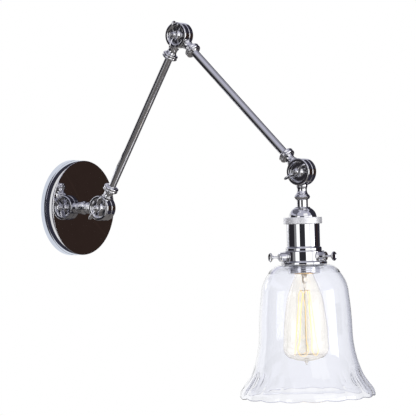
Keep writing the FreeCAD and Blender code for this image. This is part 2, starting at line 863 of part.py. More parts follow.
def bulb_supports():
    """The rod down the middle and the hooks that hold the filament's strands at both ends."""
    supports = rod(POST_R, MOUNT_END, FILAMENT_LOW + 0.6)
    for height, reach in ((FILAMENT_TOP - 0.7, FILAMENT_TOP_R), (FILAMENT_LOW + 0.6, FILAMENT_R)):
        for i in range(FILAMENT_STRANDS):
            hook = Part.makeCylinder(0.3, reach, V(0, 0, height), V(1, 0, 0))
            hook.rotate(V(0, 0, 0), V(0, 0, 1), 360.0 * i / FILAMENT_STRANDS)
            supports = supports.fuse(hook)
    return one(supports)


def save_base():
    """The canopy with what is behind it, and the base knuckle's own pieces."""
    save("canopy", canopy())
    save("crossbar", crossbar())
    save("nipple", nipple())
    save("nipple_nuts", nipple_nuts())
    save("canopy_nut", canopy_nut())
    save("canopy_lock_washer", canopy_lock_washer())
    save("ground_screw", ground_screw())
    save("wire_connectors", wire_connectors())
    save("base_stem", placed(base_stem(), BASE_PIVOT, STEM_LEAN))
    save("base_collar", placed(base_collar(), BASE_PIVOT, STEM_LEAN))
    save("base_washer", placed(friction_washer(), BASE_PIVOT, 0))
    save("base_wing_screw", placed(wing_screw(BASE_WING_TURN), BASE_PIVOT, 0))


def save_arm(name, pivot, lean, length):
    """One arm: far knuckle half at its foot, near knuckle half at its end, tube, collars and leads."""
    top_end = turned_round(arm_end(-1, DISH_DEPTH), length)
    save(name + "_foot", placed(arm_end(1, FAR_DISH_DEPTH), pivot, lean))
    save(name + "_foot_collar", placed(arm_collar(), pivot, lean))
    save(name + "_tube", placed(arm_tube(length), pivot, lean))
    save(name + "_leads", placed(arm_leads(length), pivot, lean))
    save(name + "_end_collar", placed(turned_round(arm_collar(), length), pivot, lean))
    save(name + "_end", placed(top_end, pivot, lean))


def save_head():
    """Everything on the lamp head's own axis."""
    pieces = {
        "head_stem": head_stem(),
        "head_cap": head_cap(),
        "head_nipple": head_nipple(),
        "cap_nut": cap_nut(),
        "clamp_ring": clamp_ring(),
        "socket_shell": socket_shell(),
        "socket_insulator": socket_insulator(),
        "screw_shell": screw_shell(),
        "centre_contact": centre_contact(),
        "gallery": gallery(),
        "gallery_nut": gallery_nut(),
        "shade_glass": shade_glass(),
        "bulb_glass": bulb_glass(),
        "bulb_cap": bulb_cap(),
        "bulb_insulator": bulb_insulator(),
        "bulb_contact": bulb_contact(),
        "bulb_stem": bulb_stem(),
        "bulb_filament": bulb_filament(),
        "bulb_supports": bulb_supports(),
    }
    for i, turn in enumerate(THUMB_TURNS):
        pieces["shade_screw_" + "abc"[i]] = shade_screw(turn)
    for name, shape in pieces.items():
        save(name, placed(shape, HEAD_PIVOT, HEAD_LEAN))


def main():
    """Writes every sub-part into parts/."""
    os.makedirs("parts", exist_ok=True)
    save_base()
    save_arm("lower_arm", BASE_PIVOT, LOWER_ARM_LEAN, LOWER_ARM_LENGTH)
    save("elbow_washer", placed(friction_washer(), ELBOW_PIVOT, 0))
    save("elbow_wing_screw", placed(wing_screw(ELBOW_WING_TURN), ELBOW_PIVOT, 0))
    save_arm("upper_arm", ELBOW_PIVOT, UPPER_ARM_LEAN, UPPER_ARM_LENGTH)
    save("head_washer", placed(friction_washer(), HEAD_PIVOT, 0))
    save("head_wing_screw", placed(wing_screw(HEAD_WING_TURN), HEAD_PIVOT, 0))
    save_head()


main()
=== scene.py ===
"""Looks of a swing arm wall sconce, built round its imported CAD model.

Metres, +Z up, the wall is the plane Y = 0 and the lamp reaches out towards -Y. A piece is made in
millimetres, standing along its own +Z from its pivot, and then put in place. Outlines are (along, out)
points, as the CAD model's are.
"""

import json
import math

import bmesh
import bpy
from mathutils import Matrix, Vector


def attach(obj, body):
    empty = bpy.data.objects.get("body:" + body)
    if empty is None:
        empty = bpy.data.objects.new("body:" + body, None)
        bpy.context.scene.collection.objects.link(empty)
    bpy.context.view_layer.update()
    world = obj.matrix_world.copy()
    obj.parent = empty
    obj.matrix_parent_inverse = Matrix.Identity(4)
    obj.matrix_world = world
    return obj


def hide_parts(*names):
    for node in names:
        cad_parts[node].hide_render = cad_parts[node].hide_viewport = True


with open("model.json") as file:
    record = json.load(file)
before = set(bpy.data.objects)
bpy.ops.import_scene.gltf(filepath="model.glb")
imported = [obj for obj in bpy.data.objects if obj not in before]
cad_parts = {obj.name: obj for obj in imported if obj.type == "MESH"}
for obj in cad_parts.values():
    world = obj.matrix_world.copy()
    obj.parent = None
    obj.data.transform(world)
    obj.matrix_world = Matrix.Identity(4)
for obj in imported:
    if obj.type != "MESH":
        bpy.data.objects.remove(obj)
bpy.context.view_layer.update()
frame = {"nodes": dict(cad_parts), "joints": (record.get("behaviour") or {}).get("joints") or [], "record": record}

MM = 0.001
JOINTS = {joint["name"]: joint for joint in frame["joints"]}
NODES = frame["nodes"]

# The view: angles round the object in degrees, distances in metres, lens and sensor in millimetres.
VIEW_AZIMUTH = -53.44
VIEW_ELEVATION = 0.93
VIEW_ROLL = 0.22
VIEW_DISTANCE = 2.415
VIEW_TARGET = Vector((0.1055, -0.1422, 0.0002))
VIEW_LENS = 159.5
SENSOR = 36.0

# Steps round a turned piece.
TURN_STEPS = 96
FINE_TURN_STEPS = 128
COARSE_TURN_STEPS = 64

# In millimetres: a length that counts as none, how near corners are joined, and an area that counts as none.
TINY = 1e-6
TWINS = 1e-5
NO_AREA = 1e-9

# Softened corners: bends under this many degrees stay, and a corner takes this share of its shorter run.
FLAT_BEND = 24.0
CORNER_SHARE = 0.42

# Sizes in millimetres, the CAD model's own.
CANOPY_R = 62.5
CANOPY_DEPTH = 19.3
CANOPY_WALL = 1.2
DISC_R = 16.2
HALF_THICKNESS = 8.5
PARTING = 0.4
DISH_R = 12.4
DISH_FLOOR_R = 10.6
NEAR_DISH = 3.0
FAR_DISH = 1.2
SCREW_R = 2.5
BORE_PLAY = 0.06
ROOT_START = 13.2
ROOT_R = 6.9
WAIST_R = 5.9
SPIGOT_R = 7.0
SPIGOT_START = 25.6
STEM_END = 31.4
SWIVEL_R = 6.4
BASE_STEM_END = 30.6
NIPPLE_R = 5.0
TUBE_R = 5.0
TUBE_WALL = 1.0
TUBE_START = 24.5
COLLAR_R = 9.9
WING_TURNS = {"base": 33.0, "elbow": 8.0, "head": 58.5}
WING_THICKNESS = 1.9
CAP_START = 42.0
RING_START = 54.3
RING_END = 62.1
RING_R = 23.0
BODY_R = 20.0
BODY_END = 89.0
FLARE_R = 21.8
GALLERY_START = 94.3
GALLERY_END = 106.6
GALLERY_R = 24.8
FLANGE_R = 27.8
FLANGE_END = 110.5
SKIRT_R = 19.0
SKIRT_END = 118.6
SHELL_WALL = 1.0
BOSS_R = 5.6
BOSS_OUT = 31.5
THUMB_AXIS_S = 101.0
THUMB_OUT = 44.0
THUMB_HEAD_R = 5.6
THUMB_TURNS = {"a": -148.6, "b": -28.6, "c": 91.4}
GLASS_WALL = 2.6
NECK_R = 21.6
NECK_TOP = 97.5
SHOULDER_S = 110.7
RIM_S = 268.0
RIM_R = 81.0
FLUTES = 18
BULB_WALL = 0.8
BULB_R = 27.0
BULB_NECK_R = 10.6
BULB_TIP_S = 230.5
BULB_CAP_R = 12.9
BULB_CAP_START = 93.5
BULB_CAP_END = 120.2
THREAD_PITCH = 3.6
FILAMENT_TOP = 142.0
FILAMENT_LOW = 218.0
FILAMENT_TOP_R = 6.0
FILAMENT_R = 14.5
MOUNT_END = 139.0
STRANDS = 10


def pivot(joint):
    """Where a joint's axis passes, at rest."""
    return Vector(JOINTS[joint]["pos_m"])


def standing(start, towards):
    """The place of a piece that stands along +Z from its start, with its own X along the frame's X."""
    up = towards.normalized()
    side = Vector((1, 0, 0))
    turn = Matrix((side, up.cross(side), up)).transposed()
    return Matrix.Translation(start) @ turn.to_4x4()


BASE, ELBOW, HEAD = pivot("base_tilt"), pivot("elbow_tilt"), pivot("head_tilt")
WALL_PLACE = standing(Vector((0, 0, 0)), Vector((0, -1, 0)))
STEM_PLACE = standing(BASE, Vector((0, 1, 0)))
LAMP_PLACE = standing(HEAD, Vector(JOINTS["bulb_turn"]["axis"]))
ARMS = {
    "lower_arm": (standing(BASE, ELBOW - BASE), standing(ELBOW, BASE - ELBOW), (ELBOW - BASE).length),
    "upper_arm": (standing(ELBOW, HEAD - ELBOW), standing(HEAD, ELBOW - HEAD), (HEAD - ELBOW).length),
}


# Outlines


def arc_points(start, through, end, step):
    """Points on the arc from start through a point to end, without its start."""
    ax, ay = start
    bx, by = through
    cx, cy = end
    d = 2 * (ax * (by - cy) + bx * (cy - ay) + cx * (ay - by))
    if abs(d) < NO_AREA:
        return [end]
    a2, b2, c2 = ax * ax + ay * ay, bx * bx + by * by, cx * cx + cy * cy
    ox = (a2 * (by - cy) + b2 * (cy - ay) + c2 * (ay - by)) / d
    oy = (a2 * (cx - bx) + b2 * (ax - cx) + c2 * (bx - ax)) / d
    radius = math.hypot(ax - ox, ay - oy)
    first, middle, last = (math.atan2(y - oy, x - ox) for x, y in (start, through, end))
    sweep = (last - first) % math.tau
    if (middle - first) % math.tau > sweep:
        sweep -= math.tau
    count = max(2, math.ceil(abs(sweep) / math.radians(step)))
    turns = [first + sweep * i / count for i in range(1, count)]
    return [(ox + radius * math.cos(t), oy + radius * math.sin(t)) for t in turns] + [end]


def divided(points, longest):
    """The same outline with no run longer than this."""
    made = [points[0]]
    for here, there in zip(points, points[1:]):
        count = max(1, math.ceil(math.dist(here, there) / longest))
        made += [tuple(a + (b - a) * i / count for a, b in zip(here, there)) for i in range(1, count + 1)]
    return made


def eased(value, start, end):
    """Goes smoothly from 0 to 1 as a value goes from start to end."""
    t = min(1.0, max(0.0, (value - start) / (end - start)))
    return t * t * (3 - 2 * t)


def trace(points, step=7.0):
    """An outline's points: a point is a straight run to it, and a pair is an arc through one to the other."""
    made = [points[0]]
    for item in points[1:]:
        if isinstance(item[0], tuple):
            made += arc_points(made[-1], item[0], item[1], step)
        else:
            made.append(item)
    return made


def softened(points, radius, closed=True):
    """Rounds an outline's corners a little, as polishing does."""
    count = len(points)
    made = []
    for i, here in enumerate(points):
        if here[1] < TINY or not closed and i in (0, count - 1):
            made.append(here)
            continue
        here = Vector(here)
        to_last, to_next = Vector(points[i - 1]) - here, Vector(points[(i + 1) % count]) - here
        reach = min(to_last.length, to_next.length)
        if reach < TINY:
            continue
        angle = to_last.angle(to_next)
        if math.pi - angle < math.radians(FLAT_BEND):
            made.append(tuple(here))
            continue
        setback = min(radius / math.tan(angle / 2), CORNER_SHARE * reach)
        start, end = here + to_last.normalized() * setback, here + to_next.normalized() * setback
        for t in (0.0, 0.25, 0.5, 0.75, 1.0):
            made.append(tuple(start * (1 - t) ** 2 + here * 2 * t * (1 - t) + end * t * t))
    return made


# Meshes


def new_object(name, mesh):
    piece = bpy.data.objects.new(name, mesh)
    bpy.context.scene.collection.objects.link(piece)
    return piece


def to_mesh(name, build):
    """A mesh out of a bmesh, with its faces outward and twin corners joined."""
    bmesh.ops.remove_doubles(build, verts=build.verts, dist=TWINS)
    bmesh.ops.recalc_face_normals(build, faces=build.faces)
    mesh = bpy.data.meshes.new(name)
    build.to_mesh(mesh)
    build.free()
    mesh.shade_smooth()
    return mesh


def ring(build, along, out, turns, shape=None):
    """One ring of corners round the axis, or a single corner on it."""
    if out < TINY:
        return [build.verts.new((0, 0, along))]
    made = []
    for i in range(turns):
        angle = math.tau * i / turns
        s, r = shape(along, out, angle) if shape else (along, out)
        made.append(build.verts.new((r * math.cos(angle), r * math.sin(angle), s)))
    return made


def skin(build, rings, closed):
    """Faces between each ring and the next."""
    pairs = list(zip(rings, rings[1:]))
    if closed:
        pairs.append((rings[-1], rings[0]))
    for low, high in pairs:
        count = max(len(low), len(high))
        for i in range(count if count > 1 else 0):
            j = (i + 1) % count
            corners = [low[i % len(low)], low[j % len(low)], high[j % len(high)], high[i % len(high)]]
            build.faces.new(list(dict.fromkeys(corners)))


def turned(name, points, soften=0.25, turns=TURN_STEPS, step=7.0, shape=None, longest=400.0):
    """A turned mesh: solid if its outline starts and ends on the axis, and a ring if not."""
    outline = trace(points, step)
    solid = outline[0][1] < TINY and outline[-1][1] < TINY
    outline = divided(softened(outline, soften, closed=not solid), longest)
    build = bmesh.new()
    skin(build, [ring(build, s, r, turns, shape) for s, r in outline], closed=not solid)
    return to_mesh(name, build)


def bar(name, radius, start, end, turns=TURN_STEPS):
    """A round bar on +Z, used to cut."""
    return turned(name, [(start, 0.0), (start, radius), (end, radius), (end, 0.0)], soften=0.0, turns=turns)


def across(mesh, side=1):
    """Turns a mesh built on +Z so that it lies on +X, or on -X."""
    mesh.transform(Matrix.Rotation(side * math.pi / 2, 4, "Y"))
    return mesh


def joined(mesh, other, operation):
    """What a boolean of two meshes leaves. The meshes themselves are used up."""
    first, second = new_object("first", mesh), new_object("second", other)
    cut = first.modifiers.new("cut", "BOOLEAN")
    cut.object = second
    cut.operation = operation
    cut.solver = "EXACT"
    graph = bpy.context.evaluated_depsgraph_get()
    made = bpy.data.meshes.new_from_object(first.evaluated_get(graph))
    for piece in (first, second):
        used = piece.data
        bpy.data.objects.remove(piece)
        bpy.data.meshes.remove(used)
    return made


def bevelled(mesh, width, angle=35.0, segments=2):
    """Takes the sharp edges off a mesh."""
    piece = new_object("bevelled", mesh)
    bevel = piece.modifiers.new("edges", "BEVEL")
    bevel.width = width
    bevel.segments = segments
    bevel.limit_method = "ANGLE"
    bevel.angle_limit = math.radians(angle)
    bevel.use_clamp_overlap = True
    bevel.miter_outer = "MITER_ARC"
    graph = bpy.context.evaluated_depsgraph_get()
    made = bpy.data.meshes.new_from_object(piece.evaluated_get(graph))
    bpy.data.objects.remove(piece)
    bpy.data.meshes.remove(mesh)
    return made


def finished(name, mesh, place, body, slot, *nodes):
    """Puts a millimetre mesh in place as a piece that rides on its body and stands for its CAD nodes."""
    mesh.transform(place @ Matrix.Scale(MM, 4))
    mesh.shade_smooth()
    mesh.materials.clear()
    mesh.materials.append(MATERIALS[slot])
    piece = new_object(name, mesh)
    even = piece.modifiers.new("even shading", "WEIGHTED_NORMAL")
    even.weight = 100
    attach(piece, body)
    if nodes:
        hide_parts(*nodes)
    return piece


# Materials


EVEN = (1, 1, 1)


def shader(name, colour, roughness, metallic=0.0):
    """A new material, its principled shader, and functions that add nodes and link them to it."""
    material = bpy.data.materials.new(name)
    material.use_nodes = True
    tree = material.node_tree
    principled = tree.nodes["Principled BSDF"]
    principled.inputs["Base Color"].default_value = (*colour, 1)
    principled.inputs["Roughness"].default_value = roughness
    principled.inputs["Metallic"].default_value = metallic

    def add(kind, links=(), **values):
        node = tree.nodes.new(kind)
        for key, value in values.items():
            if key in node.inputs:
                node.inputs[key].default_value = value
            else:
                setattr(node, key, value)
        for socket, source in links:
            tree.links.new(source, node.inputs[socket])
        return node

    def link(source, socket):
        tree.links.new(source, principled.inputs[socket])

    return material, principled, add, link


def noise(add, scale, detail, stretch=EVEN):
    """Noise in the piece's own space, which may be stretched along an axis."""
    space = add("ShaderNodeTexCoord")
    mapped = add("ShaderNodeMapping", [("Vector", space.outputs["Object"])], Scale=stretch)
    cloud = add("ShaderNodeTexNoise", [("Vector", mapped.outputs["Vector"])], Scale=scale, Detail=detail)
    return cloud.outputs["Fac"]


def ranged(add, source, low, high, start=0.0, end=1.0):
    """Carries a value's range onto another."""
    node = add("ShaderNodeMapRange", [("Value", source)])
    for key, value in zip(("From Min", "From Max", "To Min", "To Max"), (start, end, low, high)):
        node.inputs[key].default_value = value
    return node.outputs["Result"]


def blend(add, factor, first, second):
    """A colour between two, by a factor."""
    node = add("ShaderNodeMix", data_type="RGBA")
    node.inputs[6].default_value = (*first, 1)
    node.inputs[7].default_value = (*second, 1)
    factor.id_data.links.new(factor, node.inputs[0])
    return node.outputs[2]


def bumped(add, link, height, strength, distance):
    bump = add("ShaderNodeBump", [("Height", height)], Strength=strength, Distance=distance)
    link(bump.outputs["Normal"], "Normal")


def edges(add):
    """How much a place stands out as an edge, from 0 to 1."""
    return ranged(add, add("ShaderNodeNewGeometry").outputs["Pointiness"], 0.0, 1.0, 0.52, 0.6)


def metal(name, colour, worn, roughness, spread, grain, stretch, bump, metallic=1.0):
    """Bare or plated metal: faint stains, uneven polish, fine grain and brighter worn edges."""
    material, _, add, link = shader(name, colour, roughness, metallic)
    stains = noise(add, 90.0, 4.0)
    body = blend(add, ranged(add, stains, 0.0, 1.0, 0.35, 0.75), colour, tuple(0.93 * c for c in colour))
    coat = add("ShaderNodeMix", [(0, edges(add)), (6, body)], data_type="RGBA")
    coat.inputs[7].default_value = (*worn, 1)
    link(coat.outputs[2], "Base Color")
    lines = noise(add, grain, 3.0, stretch)
    link(ranged(add, lines, roughness - spread, roughness + spread, 0.3, 0.7), "Roughness")
    bumped(add, link, lines, bump, 0.0001)
    return material


def chrome():
    return metal(
        "chrome", (0.72, 0.72, 0.74), (0.82, 0.82, 0.83),
        roughness=0.02, spread=0.015, grain=260.0, stretch=EVEN, bump=0.015,
    )


def satin():
    """Fine-turned nickel, whose dull surface scatters a little light as paint does."""
    return metal(
        "satin nickel", (0.92, 0.92, 0.95), (0.97, 0.97, 0.98),
        roughness=0.50, spread=0.07, grain=220.0, stretch=(1, 1, 30), bump=0.12, metallic=0.8,
    )


def zinc():
    return metal(
        "zinc plate", (0.60, 0.60, 0.55), (0.74, 0.74, 0.72),
        roughness=0.38, spread=0.10, grain=900.0, stretch=EVEN, bump=0.25,
    )


def green_plate():
    return metal(
        "green dyed plate", (0.08, 0.34, 0.13), (0.30, 0.46, 0.30),
        roughness=0.34, spread=0.08, grain=700.0, stretch=EVEN, bump=0.2,
    )


def brass():
    return metal(
        "brass", (0.80, 0.52, 0.24), (0.90, 0.66, 0.38),
        roughness=0.22, spread=0.08, grain=500.0, stretch=(1, 1, 12), bump=0.15,
    )


def solder():
    return metal(
        "solder", (0.55, 0.55, 0.53), (0.66, 0.66, 0.65),
        roughness=0.42, spread=0.10, grain=1200.0, stretch=EVEN, bump=0.4,
    )


def support_wire():
    return metal(
        "support wire", (0.46, 0.40, 0.32), (0.60, 0.54, 0.46),
        roughness=0.30, spread=0.06, grain=1500.0, stretch=EVEN, bump=0.1,
    )


def moulded(name, colour, roughness, mottle, grain, bump):
    """Plastic, fibre, rubber or ceramic: mottled colour, uneven gloss and a fine surface grain."""
    material, _, add, link = shader(name, colour, roughness)
    patches = noise(add, 160.0, 5.0)
    darker = tuple(c * mottle for c in colour)
    link(blend(add, ranged(add, patches, 0.0, 1.0, 0.3, 0.7), colour, darker), "Base Color")
    fine = noise(add, grain, 6.0)
    link(ranged(add, fine, roughness * 0.8, roughness * 1.25, 0.3, 0.7), "Roughness")
    bumped(add, link, fine, bump, 0.0002)
    return material


def glass(name, colour, roughness, ripple, scale, stretch, glow=0.0):
    """Clear glass: a faint tint, the slow ripple of blown glass, and a warm glow if it is a lit bulb's."""
    material, principled, add, link = shader(name, colour, roughness)
    principled.inputs["Emission Color"].default_value = (1.0, 0.80, 0.48, 1)
    principled.inputs["Emission Strength"].default_value = glow
    principled.inputs["Transmission Weight"].default_value = 1.0
    principled.inputs["IOR"].default_value = 1.5
    waves = noise(add, scale, 2.0, stretch)
    bumped(add, link, waves, ripple, 0.002)
    film = noise(add, 320.0, 5.0)
    link(ranged(add, film, roughness, roughness + 0.012, 0.45, 0.8), "Roughness")
    return material


def glowing(name, colour, strength):
    """A hot filament: brighter and darker stretches along the wire."""
    material, principled, add, link = shader(name, (0.3, 0.18, 0.08), 0.5)
    heat = noise(add, 120.0, 2.0)
    hotter = tuple(min(1.0, 1.25 * c) for c in colour)
    link(blend(add, heat, colour, hotter), "Emission Color")
    principled.inputs["Emission Strength"].default_value = strength
    return material


MATERIALS = {
    "chrome": chrome(),
    "satin_metal": satin(),
    "zinc_plate": zinc(),
    "ground_green": green_plate(),
    "connector_plastic": moulded(
        "connector plastic", (0.72, 0.24, 0.04), roughness=0.42, mottle=0.86, grain=900.0, bump=0.2),
    "fibre": moulded(
        "pressed fibre", (0.05, 0.04, 0.035), roughness=0.7, mottle=0.6, grain=1500.0, bump=0.6),
    "lead_insulation": moulded(
        "lead insulation", (0.72, 0.72, 0.68), roughness=0.5, mottle=0.9, grain=600.0, bump=0.15),
    "ceramic": moulded(
        "glazed ceramic", (0.86, 0.84, 0.78), roughness=0.16, mottle=0.95, grain=240.0, bump=0.08),
    "brass": brass(),
    "clear_glass": glass(
        "shade glass", (0.955, 0.962, 0.997), roughness=0.0, ripple=0.06, scale=26.0, stretch=(1, 1, 0.35)),
    "bulb_glass": glass(
        "bulb glass", (1.0, 0.992, 0.955), roughness=0.0, ripple=0.03, scale=40.0, stretch=EVEN, glow=0.03),
    "black_glass": moulded(
        "black glass", (0.02, 0.015, 0.03), roughness=0.12, mottle=0.8, grain=300.0, bump=0.1),
    "solder": solder(),
    "filament": glowing("filament", (1.0, 0.62, 0.20), 1.5),
    "support_wire": support_wire(),
}


def paint_cad_nodes():
    """Gives each CAD node the finish of its own slot."""
    for part in frame["record"]["subparts"]:
        node = NODES[part["node"]]
        node.data.materials.clear()
        node.data.materials.append(MATERIALS[part["material_slot"]])


# Canopy


def canopy():
    """The polished pan: tapered skirt, step, straight band, a band that leans in, and the mirror face."""
    shoulder_r = CANOPY_R - 0.8
    edge_r = shoulder_r - 0.3
    mesh = turned("canopy", [
        (0.0, CANOPY_R - CANOPY_WALL),
        (0.0, CANOPY_R),
        (7.5, CANOPY_R - 0.55),
        (7.9, shoulder_r),
        (14.0, shoulder_r),
        (CANOPY_DEPTH - 0.7, edge_r),
        ((CANOPY_DEPTH - 0.2, edge_r - 0.2), (CANOPY_DEPTH, edge_r - 0.7)),
        (CANOPY_DEPTH, NIPPLE_R),
        (CANOPY_DEPTH - CANOPY_WALL, NIPPLE_R),
        (CANOPY_DEPTH - CANOPY_WALL, edge_r - 2.7),
        (CANOPY_DEPTH - CANOPY_WALL - 1.5, edge_r - CANOPY_WALL - 0.4),
        (8.5, shoulder_r - CANOPY_WALL),
        (6.9, CANOPY_R - 0.55 - CANOPY_WALL),
    ], soften=0.18, turns=2 * TURN_STEPS)
    finished("canopy_pan", mesh, WALL_PLACE, "canopy", "chrome", "canopy")


# Knuckles


def disc(name, side, dish):
    """One disc of a knuckle: parting face, rounded rim, then a bevel down to the dish's floor."""
    mesh = turned(name, [
        (PARTING, SCREW_R + BORE_PLAY),
        (PARTING, DISC_R - 0.9),
        ((PARTING + 0.25, DISC_R - 0.25), (PARTING + 0.9, DISC_R)),
        (HALF_THICKNESS - 1.3, DISC_R),
        ((HALF_THICKNESS - 0.4, DISC_R - 0.4), (HALF_THICKNESS, DISC_R - 1.3)),
        (HALF_THICKNESS, DISH_R + 0.4),
        ((HALF_THICKNESS - 0.35 * dish, DISH_R - 0.6), (HALF_THICKNESS - dish, DISH_FLOOR_R)),
        (HALF_THICKNESS - dish, SCREW_R + BORE_PLAY),
    ], soften=0.3)
    return across(mesh, side)


def knuckle_half(name, side, dish, stem, bore_start=None):
    """A disc with its turned stem, which leaves room for the other disc and may be bored from its end."""
    end = stem[-2][0]
    body = turned(name, stem, soften=0.3)
    past_disc = 30.0
    sweep = across(bar("sweep", DISC_R + 0.6, -PARTING, past_disc), -side)
    body = joined(body, sweep, "DIFFERENCE")
    if bore_start:
        bore = bar("bore", NIPPLE_R + BORE_PLAY, bore_start, end + 1.0, turns=COARSE_TURN_STEPS)
        body = joined(body, bore, "DIFFERENCE")
    return bevelled(joined(disc(name + " disc", side, dish), body, "UNION"), 0.22)


def waist(root_r, waist_r, end_r, end_s):
    """A stem's outline from inside its disc, over a small step, along its hollow and out to its end."""
    middle = (DISC_R + end_s) / 2 + 0.6
    return [
        (ROOT_START, 0.0),
        (ROOT_START, root_r),
        (DISC_R + 1.0, root_r),
        ((DISC_R + 1.7, root_r - 0.2), (DISC_R + 2.0, root_r - 0.7)),
        (DISC_R + 2.3, waist_r + 0.6),
        ((middle, waist_r), (end_s, end_r)),
    ]


def arm_end(name, side, dish):
    stem = waist(ROOT_R, WAIST_R, SPIGOT_R, SPIGOT_START - 0.4)
    return knuckle_half(name, side, dish, stem + [(STEM_END, SPIGOT_R), (STEM_END, 0.0)])


def base_stem():
    """The base knuckle's near half, whose stem has a bead and turns on the canopy's nipple."""
    bead = (DISC_R + BASE_STEM_END) / 2
    return knuckle_half("base stem", -1, NEAR_DISH, [
        (ROOT_START, 0.0),
        (ROOT_START, ROOT_R),
        (DISC_R + 1.0, ROOT_R),
        (DISC_R + 2.2, SWIVEL_R),
        (bead - 2.2, SWIVEL_R),
        ((bead, SWIVEL_R + 1.2), (bead + 2.2, SWIVEL_R)),
        (BASE_STEM_END, SWIVEL_R),
        (BASE_STEM_END, 0.0),
    ], bore_start=DISC_R + 3.6)


def base_collar():
    """The flared ring between the stem and the canopy's face."""
    end = BASE_STEM_END
    return turned("base collar", [
        (end - 3.4, SWIVEL_R),
        (end - 3.4, SWIVEL_R + 0.6),
        ((end - 2.4, 7.9), (end - 1.2, 8.8)),
        (end, 8.8),
        (end, SWIVEL_R),
    ], soften=0.2)


def head_stem():
    """The head knuckle's far half: hollow stem, sharp-edged ring, straight tube down to the cap."""
    return knuckle_half("head stem", 1, FAR_DISH, waist(ROOT_R, WAIST_R, 7.4, 26.6) + [
        (27.4, 8.6),
        (29.0, 9.2),
        (29.9, 9.9),
        (30.8, 9.2),
        (32.6, 8.4),
        ((33.0, 7.4), (33.8, 6.75)),
        (CAP_START, 6.75),
        (CAP_START, 0.0),
    ], bore_start=34.0)


def arm_collar():
    """The nut with two beads that holds an arm's tube to its knuckle."""
    start = SPIGOT_START
    return turned("arm collar", [
        (start, SPIGOT_R),
        (start, 8.0),
        ((start + 0.5, COLLAR_R - 0.7), (start + 1.7, COLLAR_R)),
        ((start + 2.7, 9.6), (start + 3.1, 9.3)),
        ((start + 3.6, COLLAR_R - 0.5), (start + 4.6, COLLAR_R)),
        ((start + 6.0, 9.5), (start + 6.7, 7.8)),
        ((start + 6.9, 7.0), (start + 7.6, 6.2)),
        (start + 7.6, TUBE_R),
        (STEM_END, TUBE_R),
        (STEM_END, SPIGOT_R),
    ], soften=0.15)


def arm_tube(length):
    return turned("arm tube", [
        (TUBE_START, TUBE_R - TUBE_WALL),
        (TUBE_START, TUBE_R),
        (length - TUBE_START, TUBE_R),
        (length - TUBE_START, TUBE_R - TUBE_WALL),
    ], soften=0.1)


def arms():
    """Both arms: foot, end, their collars and the tube between."""
    foot, end, collar = arm_end("arm foot", 1, FAR_DISH), arm_end("arm end", -1, NEAR_DISH), arm_collar()
    for arm, (foot_place, end_place, length) in ARMS.items():
        for part, mesh, place in (
            ("foot", foot, foot_place),
            ("end", end, end_place),
            ("foot_collar", collar, foot_place),
            ("end_collar", collar, end_place),
        ):
            node = f"{arm}_{part}"
            finished(node + "_polished", mesh.copy(), place, arm, "chrome", node)
        node = arm + "_tube"
        finished(node + "_polished", arm_tube(length / MM), foot_place, arm, "chrome", node)


def wing():
    """One wing of a clamping screw: plate in the plane of the screw's axis, with its edges rounded."""
    root, tip, seat = 7.2, HALF_THICKNESS + 9.0, 5.6
    outline = trace([
        (root, 0.6),
        (root, 3.4),
        ((root + 1.6, 8.8), (tip - 7.2, 14.9)),
        ((tip - 2.6, 17.3), (tip, 14.1)),
        ((tip - 0.8, 9.6), (seat + 6.8, 3.6)),
        (seat + 6.8, 0.6),
    ], step=5.0)
    build = bmesh.new()
    for y in (-WING_THICKNESS / 2, WING_THICKNESS / 2):
        build.faces.new([build.verts.new((out, y, along)) for along, out in outline])
    build.verts.ensure_lookup_table()
    count = len(outline)
    for i in range(count):
        j = (i + 1) % count
        build.faces.new([build.verts[k] for k in (i, j, j + count, i + count)])
    return bevelled(to_mesh("wing", build), 0.75, segments=4)


def wing_screw():
    """Shank, coned hub with a domed end, and two wings, on the -X side of its knuckle."""
    seat = HALF_THICKNESS - NEAR_DISH + 0.08
    hub = turned("hub", [
        (1.6 - HALF_THICKNESS, 0.0),
        (1.6 - HALF_THICKNESS, SCREW_R - 0.5),
        (2.1 - HALF_THICKNESS, SCREW_R),
        (seat, SCREW_R),
        (seat, 6.4),
        (seat + 1.0, 6.4),
        ((seat + 3.4, 4.6), (seat + 7.2, 3.9)),
        ((seat + 8.6, 3.2), (seat + 9.0, 0.0)),
    ], soften=0.35, turns=COARSE_TURN_STEPS)
    one, other = wing(), wing()
    other.transform(Matrix.Rotation(math.pi, 4, "Z"))
    screw = joined(joined(hub, one, "UNION"), other, "UNION")
    return across(bevelled(screw, 0.3), -1)


def knuckles():
    """The base stem and its ring, and the three wing screws."""
    finished("base_stem_polished", base_stem(), STEM_PLACE, "base_knuckle", "chrome", "base_stem")
    finished("base_collar_polished", base_collar(), STEM_PLACE, "base_knuckle", "chrome", "base_collar")
    screw = wing_screw()
    for joint, place in (("base", BASE), ("elbow", ELBOW), ("head", HEAD)):
        turned_place = Matrix.Translation(place) @ Matrix.Rotation(math.radians(WING_TURNS[joint]), 4, "X")
        name = joint + "_wing_screw"
        finished(name + "_polished", screw.copy(), turned_place, joint + "_wing", "chrome", name)


# Lamp holder


def on_head(name, mesh, slot, *nodes, body="lamp_head"):
    return finished(name, mesh, LAMP_PLACE, body, slot, *nodes)


def head_cap():
    """The domed cap with a small foot round the stem."""
    return turned("cap", [
        (CAP_START, NIPPLE_R),
        (CAP_START, 8.9),
        ((CAP_START + 0.5, 9.3), (CAP_START + 1.0, 9.6)),
        ((CAP_START + 5.2, 14.4), (RING_START - 0.3, 16.8)),
        (RING_START, 16.8),
        (RING_START, 15.6),
        ((CAP_START + 5.6, 12.6), (CAP_START + 2.0, 8.2)),
        (CAP_START + 2.0, NIPPLE_R),
    ], step=4.0)


